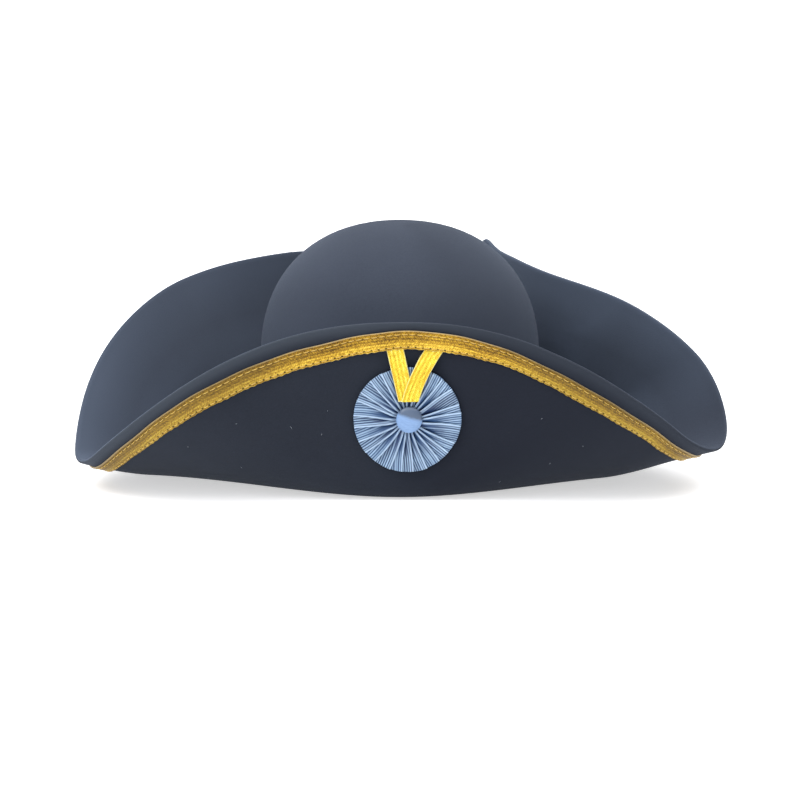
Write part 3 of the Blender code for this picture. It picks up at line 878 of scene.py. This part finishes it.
def pleat_crest(out):
    """Height of the folds, highest just round the button."""
    inner = blend(CREST_HOLE, CREST_TOP, smoothstep((out - 0.0058) / 0.0036))
    return blend(inner, CREST_EDGE, smoothstep((out - 0.0098) / 0.0190) ** 0.8)


def pleat_bed(out):
    """Height of the ribbon where it goes under the next fold."""
    return blend(BED_HOLE, BED_EDGE, smoothstep((out - 0.006) / 0.020))


def cockade_mesh():
    """Every pleat as a strip from the hole to the edge: its rolled fold, and its fall to the next.

    The pleats are laid by hand, so their angles, bows, heights and lengths vary.
    """
    rng = np.random.default_rng(11)
    angles = np.radians(360) * (np.arange(PLEATS) + rng.uniform(-0.20, 0.20, PLEATS)) / PLEATS
    bows = np.radians(rng.uniform(-3.6, 3.6, PLEATS))
    tall = rng.uniform(0.86, 1.08, PLEATS)
    reach = rng.uniform(-0.00025, 0.00015, PLEATS)
    out = blend(COCKADE_HOLE, COCKADE_RADIUS, np.linspace(0, 1, PLEAT_ROWS) ** 0.9)
    share = (out - COCKADE_HOLE) / (COCKADE_RADIUS - COCKADE_HOLE)
    points, faces, uvs = [], [], []
    for i in range(PLEATS):
        j = (i + 1) % PLEATS
        turn = angles[i] + bows[i] * share * (1 - share) * 2
        gap_turn = (angles[j] + bows[j] * share * (1 - share) * 2 - turn) % (2 * np.pi)
        width = out * np.sin(gap_turn) + PLEAT_LAP
        bed = pleat_bed(out)
        crest = blend(bed, pleat_crest(out), tall[i])
        columns = [(np.full_like(out, 0.9 * FOLD_RADIUS), bed - 0.0004, -0.001)]
        for roll in np.linspace(np.pi, 0.0, FOLD_COLUMNS):
            side = -FOLD_RADIUS * np.sin(roll)
            drop = FOLD_RADIUS * (1 - np.cos(roll))
            columns.append((np.full_like(out, side), crest - drop, side))
        for s in np.linspace(0, 1, PLEAT_COLUMNS)[1:]:
            beside = s * width
            fall = (1 - s) ** 1.5 * (1 + 0.9 * s)
            rib = RIB_DEPTH * np.cos(2 * np.pi * beside / RIBBON_RIB)
            columns.append((beside, bed + (crest - bed) * fall + rib, beside))
        grid, grid_uv = [], []
        for beside, height, mark in columns:
            length = np.hypot(out, beside)
            pull = np.where(share > 0.5, (out + reach[i] * share) / length, 1.0)
            right = (np.sin(turn) * out + np.cos(turn) * beside) * pull
            up = (np.cos(turn) * out - np.sin(turn) * beside) * pull
            line = on_cockade(right, up, height)
            turned = on_cockade(right[-1:] * 1.006, up[-1:] * 1.006, height[-1:] - 0.00035)
            foot = on_cockade(right[-1:] * 0.992, up[-1:] * 0.992, 0.0)
            grid.append(np.concatenate([line, turned, foot]))
            mark = np.broadcast_to(mark, out.shape)
            line_uv = 1000 * np.stack([mark, out], axis=-1) + (i * PLEAT_SHIFT, 0)
            ends_uv = line_uv[-1:] + [(0, 0.3), (0, 2.0)]
            grid_uv.append(np.concatenate([line_uv, ends_uv]))
        rows, columns = len(grid), len(grid[0])
        faces += (i * rows * columns + grid_faces(rows, columns, closed=False)).tolist()
        points += grid
        uvs += grid_uv
    return np.concatenate(points), faces, np.concatenate(uvs)


def grosgrain():
    """Rayon grosgrain: firm ribs across the ribbon, silky on their crests and dull between them.

    The folds and a crease in each pleat carry painted highlights, and so do the ribs' crests
    towards the outer edge, where light grazes them. The depths between the folds by the button
    get little light, and carry painted shade.
    """
    made, tree = new_material("blue_rayon_grosgrain")
    sums = shader_sums(tree)
    marks, ribbon, out = marks_of(tree)
    shifted = sums("ADD", ribbon, PLEAT_SHIFT / 2)
    beside = sums("SUBTRACT", sums("FLOORED_MODULO", shifted, PLEAT_SHIFT), PLEAT_SHIFT / 2)
    pleat = sums("FLOOR", sums("DIVIDE", shifted, PLEAT_SHIFT))
    chance = add_node(tree, "ShaderNodeTexWhiteNoise", {"noise_dimensions": "1D"},
                      {"W": pleat}).outputs["Value"]
    share = sums("DIVIDE", beside, sums("MULTIPLY_ADD", out, math.sin(2 * math.pi / PLEATS), 0.9))

    def step_up(value, low, high):
        settings = {"interpolation_type": "SMOOTHSTEP", "From Min": low, "From Max": high}
        return add_node(tree, "ShaderNodeMapRange", settings, {"Value": value}).outputs[0]

    ribs = sums("COSINE", sums("MULTIPLY", beside, 2 * math.pi * 0.001 / RIBBON_RIB))
    ribs = sums("POWER", sums("MULTIPLY_ADD", ribs, 0.5, 0.5), 1.8)
    streaks = add_node(tree, "ShaderNodeCombineXYZ", links={
        "X": sums("MULTIPLY", ribbon, 2.0), "Y": sums("MULTIPLY", out, 0.12)})
    uneven = add_node(tree, "ShaderNodeTexNoise", {"Scale": 1.0, "Detail": 3.0, "Roughness": 0.6},
                      {"Vector": streaks.outputs[0]}).outputs["Fac"]
    threads = sums("SINE", sums("MULTIPLY", out, 2 * math.pi / 0.5))
    patchy = add_node(tree, "ShaderNodeTexNoise", {"Scale": 0.16, "Detail": 1.0},
                      {"Vector": marks}).outputs["Fac"]
    shade = sums("MULTIPLY_ADD", uneven, 1.3, sums("MULTIPLY_ADD", chance, 0.6, -0.75))
    body = mix_in(tree, shade, 0x122C54, 0x355B88)
    # Painted highlight: pale rib crests towards the outer edge, where light grazes them.
    rib_highlight = sums("MULTIPLY", step_up(out, 13.0, 26.0), sums("ADD", patchy, 0.30))
    rib_highlight = sums("MULTIPLY", ribs, rib_highlight)
    body = mix_in(tree, sums("MULTIPLY", rib_highlight, 0.85), body, 0xA9C8E3)
    # Painted shade: dark navy in the depths between the folds near the button.
    recess_shade = sums("SUBTRACT", 1.0, step_up(out, 7.5, 15.0))
    recess_shade = sums("MULTIPLY", step_up(share, 0.20, 0.55), recess_shade)
    body = mix_in(tree, sums("MULTIPLY", recess_shade, 0.85), body, 0x1E2D52)
    # Painted highlight: a pale line along a crease in each pleat, at a random place.
    crease_highlight = sums("ABSOLUTE", sums("SUBTRACT", beside, sums("MULTIPLY_ADD", chance, 3.0, 1.2)))
    crease_highlight = sums("SUBTRACT", 1.0, step_up(crease_highlight, 0.10, 0.60))
    body = mix_in(tree, sums("MULTIPLY", crease_highlight, uneven), body, 0xA6C2E0)
    # Painted highlight along each fold.
    fold_light = sums("SUBTRACT", 1.0, step_up(sums("ABSOLUTE", beside), 0.25, 0.95))
    fold_light = sums("MULTIPLY", fold_light, sums("MULTIPLY", uneven, 1.3))
    body = mix_in(tree, fold_light, body, 0xB2CBE6)
    relief = sums("MULTIPLY_ADD", threads, 0.12, ribs)
    finish_material(tree, body, relief, 0.8, 0.00022,
                    {"Roughness": 0.40, "Specular IOR Level": 0.5})
    return made


cockade = add_piece("pleated_cockade", cockade_mesh(), grosgrain())
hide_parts("cockade")


# Cockade button
# A wooden mould 14.6 mm across covered in light blue satin, which is drawn together behind it.
# It is sewn through the cockade's middle and hides where the pleats end.
BUTTON_RADIUS = 0.0075
BUTTON_OFF = (0.0012, 0.0012)
BUTTON_BASE = 0.0047
BUTTON_HEIGHT = 0.0043
BUTTON_UNDER = 0.0013
GATHER_DEPTH = 0.00010
BUTTON_SIDES = 72
BUTTON_ROWS = 22


def button_mesh():
    """The satin dome, with faint gathers where it turns under."""
    turn = np.linspace(0, 2 * np.pi, BUTTON_SIDES, endpoint=False)
    rings, marks = [], []
    for rise in np.linspace(-62, 88, BUTTON_ROWS):
        up = math.sin(math.radians(rise))
        half = BUTTON_HEIGHT - BUTTON_UNDER if up > 0 else BUTTON_UNDER
        height = BUTTON_BASE + BUTTON_UNDER + half * up
        low = smoothstep((20 - rise) / 60)
        gathers = GATHER_DEPTH * low * (np.cos(19 * turn + 0.4) + 0.6 * np.cos(31 * turn))
        radius = BUTTON_RADIUS * math.cos(math.radians(rise)) ** 0.8 + gathers
        ring = np.stack([radius * np.sin(turn), radius * np.cos(turn)], axis=-1)
        rings.append(on_cockade(*(ring + BUTTON_OFF).T, height))
        marks.append(1000 * ring)
    return np.array(rings), tube_faces(BUTTON_ROWS, BUTTON_SIDES), np.array(marks)


def satin():
    """Silk satin: long floats all one way, so it is smooth, with a soft streaky shine.

    Above a wavy line across the button it is painted a darker grey-blue, a painted shade and
    painted reflection of the lace above it. Its streaky shine is painted as lighter and darker
    streaks in its colour.
    """
    made, tree = new_material("blue_silk_satin")
    sums = shader_sums(tree)
    marks, right, up = marks_of(tree)
    stretched = add_node(tree, "ShaderNodeMapping",
                         {"Scale": (0.4, 2.4, 1.0), "Rotation": (0, 0, 0.5)}, {"Vector": marks})
    floats = add_node(tree, "ShaderNodeTexNoise", {"Scale": 0.9, "Detail": 3.0, "Roughness": 0.6},
                      {"Vector": stretched.outputs[0]}).outputs["Fac"]
    # Painted shade and painted reflection: dark grey-blue above a wavy line across the button.
    upper_shade = sums("SUBTRACT", sums("MULTIPLY_ADD", right, 0.30, up), 2.5)
    upper_shade = sums("MULTIPLY", sums("MULTIPLY_ADD", floats, 3.0, upper_shade), 0.6)
    # Painted shine: lighter and darker streaks along the floats.
    colour = mix_in(tree, floats, 0x597AA8, 0x8AA9D2)
    colour = mix_in(tree, sums("MULTIPLY", upper_shade, 0.9), colour, 0x4C5B72)
    finish_material(tree, colour, floats, 0.5, 0.0003,
                    {"Roughness": 0.34, "Specular IOR Level": 0.5})
    return made


button = add_piece("satin_button", button_mesh(), satin())
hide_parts("cockade_button")


# Lace V
# A strip of bright gold lace doubled into a V. Its ends are tucked under the edge braid, and its
# fold is sewn down over the pleats, just above the button.
LACE_ABOVE_COCKADE = 0.0118
LACE_RIGHT_OF_COCKADE = 0.0008
LACE_SPLAY = 0.0021
LACE_TUCK = 0.0060
LACE_RIB = 0.0019
LACE_FOLD = 0.0004
# The lace's height over the felt on the folds, at the cockade's edge, past it, and at the braid.
LACE_LEVELS = (0.0054, 0.0036, 0.0004, 0.0)
LACE_ROWS = 110
LACE_COLUMNS = 33
Arm = namedtuple("Arm", "name side lean curve lap")
ARMS = (
    Arm("lace_left_arm", side=-1, lean=0.235, curve=0.0, lap=0.0),
    Arm("lace_right_arm", side=1, lean=0.263, curve=7.8, lap=0.0008),
)
lace_end = COCKADE_Y - LACE_ABOVE_COCKADE
lace_off = COCKADE_Y - COCKADE_RADIUS - LACE_THICK
braid_edge = -(oval_rim(0) - braid_margin(0) - BRAID_WIDTH)
lace_top = braid_edge - LACE_TUCK


def lace_level(y):
    """How high the lace lies over the felt: over the folds, down off the cockade, to the felt."""
    places = (lace_end, lace_off, blend(lace_off, braid_edge, 0.65), lace_top)
    return np.interp(-y, [-p for p in places], LACE_LEVELS)


def lace_mesh(arm):
    """One arm as a closed band, with corded edges, ribs, and a rounded fold at its lower end."""
    rise = np.linspace(-LACE_FOLD, lace_end - lace_top, LACE_ROWS)
    across = np.linspace(-LACE_WIDTH / 2, LACE_WIDTH / 2, LACE_COLUMNS)
    rise, across = np.meshgrid(rise, across, indexing="ij")
    start = COCKADE_X + LACE_RIGHT_OF_COCKADE + arm.side * LACE_SPLAY / 2
    slope = arm.lean + 2 * arm.curve * rise
    stretch = np.hypot(1.0, slope)
    x = start + arm.side * (arm.lean * rise + arm.curve * rise**2) + across * stretch
    y = lace_end - rise
    level = lace_level(y) + arm.lap * smoothstep((y - lace_off) / 0.003 + 1)
    edge = LACE_WIDTH / 2 - 0.0005
    height = LACE_THICK * (GROUND_SHARE + CORD_SHARE * near(abs(across), edge, 0.00036))
    height += 0.00010 * np.cos(2 * np.pi * across / LACE_RIB)
    height += 0.00016 * near(rise, 0.0, 0.0007)
    shoulder = np.clip((LACE_WIDTH / 2 - abs(across)) / SHOULDER, 0, 1)
    end = np.clip((rise + LACE_FOLD) / 0.0005, 0, 1)
    height *= np.sqrt(1 - (1 - shoulder) ** 2) * np.sqrt(1 - (1 - end) ** 2)
    top = on_felt(x, y, GAP + level + height)
    back = on_felt(x[:, [-1, 0]], y[:, [-1, 0]], GAP + level[:, [-1, 0]])
    return closed_band(top, back, rise * stretch + (arm.side + 1) * 0.1, arm.side * across)


lace_gold = gold_weave("woven_bright_gold_lace", (0xA06E10, 0xD6AE28, 0xEBDA48, 0xF8F2A8), 0xEFE6AA,
                       half_width=500 * LACE_WIDTH, rib=2.4, thread=1.1, zigzag=20.0, mottle=0.5,
                       lower_light=0.0, side_dimmed=0.0, fold_highlight_width=0.55, holes=False)
for arm in ARMS:
    lace = add_piece(arm.name, lace_mesh(arm), lace_gold)
    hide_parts("v_lace")


# Lint
# A few short pale fibres of wool dust that cling to the front of the hat.
LINT_COUNT = 16
LINT_LENGTH = (0.0006, 0.0016)
LINT_RADIUS = 0.00008
LINT_AZIMUTHS = (-52, 40)
LINT_FROM_RIM = (0.024, 0.088)
LINT_STEPS = 5
LINT_SIDES = 4


def lint():
    """Curved fibres on the front flap, more of them to its left, and none by the cockade."""
    rng = np.random.default_rng(23)
    share = np.linspace(-0.5, 0.5, LINT_STEPS)
    turn = np.linspace(0, 2 * np.pi, LINT_SIDES, endpoint=False)
    points, faces = [], []
    for _ in range(LINT_COUNT):
        azimuth = rng.uniform(*LINT_AZIMUTHS)
        east, north = bearing(azimuth)
        radius = oval_rim(azimuth) - rng.uniform(*LINT_FROM_RIM)
        length = rng.uniform(*LINT_LENGTH)
        heading, curl = rng.uniform(0, np.pi), rng.uniform(-1, 1)
        away, aside = length * share, curl * length * share**2
        x = radius * east + away * np.cos(heading) - aside * np.sin(heading)
        y = radius * north + away * np.sin(heading) + aside * np.cos(heading)
        if max(abs(x[0] - COCKADE_X), abs(y[0] - COCKADE_Y)) < COCKADE_RADIUS + 0.004:
            continue
        width = LINT_RADIUS * np.sqrt(1 - (1.8 * share[:, None]) ** 2)
        ring_x = x[:, None] - np.sin(heading) * width * np.cos(turn)
        ring_y = y[:, None] + np.cos(heading) * width * np.cos(turn)
        ring_lift = 0.0001 + width * (1 + np.sin(turn))
        first = len(points) * LINT_STEPS * LINT_SIDES
        points.append(on_felt(ring_x, ring_y, ring_lift).reshape(-1, 3))
        faces += tube_faces(LINT_STEPS, LINT_SIDES, first)
    return np.concatenate(points), faces


def wool_dust():
    """Loose undyed wool: pale grey and quite matt."""
    made, tree = new_material("loose_wool_dust")
    place = add_node(tree, "ShaderNodeTexCoord").outputs["Object"]
    fluff = add_node(tree, "ShaderNodeTexNoise", {"Scale": 2500.0, "Detail": 2.0},
                     {"Vector": place}).outputs["Fac"]
    finish_material(tree, mix_in(tree, fluff, 0x6C737C, 0xA9AEB6), fluff, 0.3, 0.0001,
                    {"Roughness": 0.9, "Specular IOR Level": 0.2})
    return made


add_piece("lint", lint(), wool_dust())
